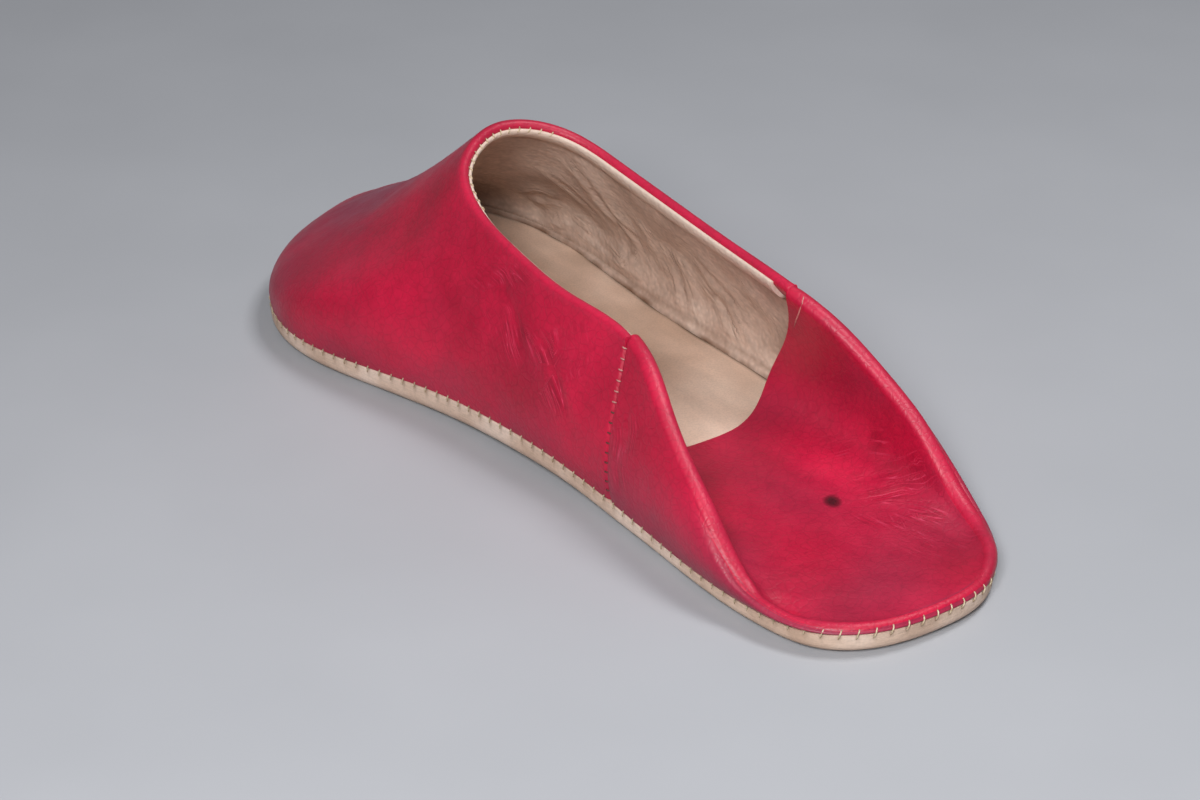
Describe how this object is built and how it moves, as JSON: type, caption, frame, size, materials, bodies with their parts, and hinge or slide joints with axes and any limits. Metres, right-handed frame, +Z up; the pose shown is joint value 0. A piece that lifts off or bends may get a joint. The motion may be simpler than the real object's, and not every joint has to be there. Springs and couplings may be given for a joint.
{
  "type": "babouche slipper",
  "caption": "Right babouche slipper in red leather, its heel quarter folded down flat on the insole, with a thin tan leather sole.",
  "frame": {"origin": "on the floor, under the middle of the slipper's bounding box", "axes": "+Z up, -Y towards the toe, +Y towards the heel, +X towards the inner (medial) side of the foot"},
  "size_m": [0.0978, 0.262, 0.0643],
  "materials": {
    "red_leather": "semi gloss, waxed",
    "tan_leather": "matt, undyed",
    "insole_leather": "matt, suede"
  },
  "bodies": {
    "root": {"outsole": "tan_leather", "insole": "insole_leather", "vamp": "red_leather", "heel_quarter": "red_leather"}
  },
  "joints": []
}
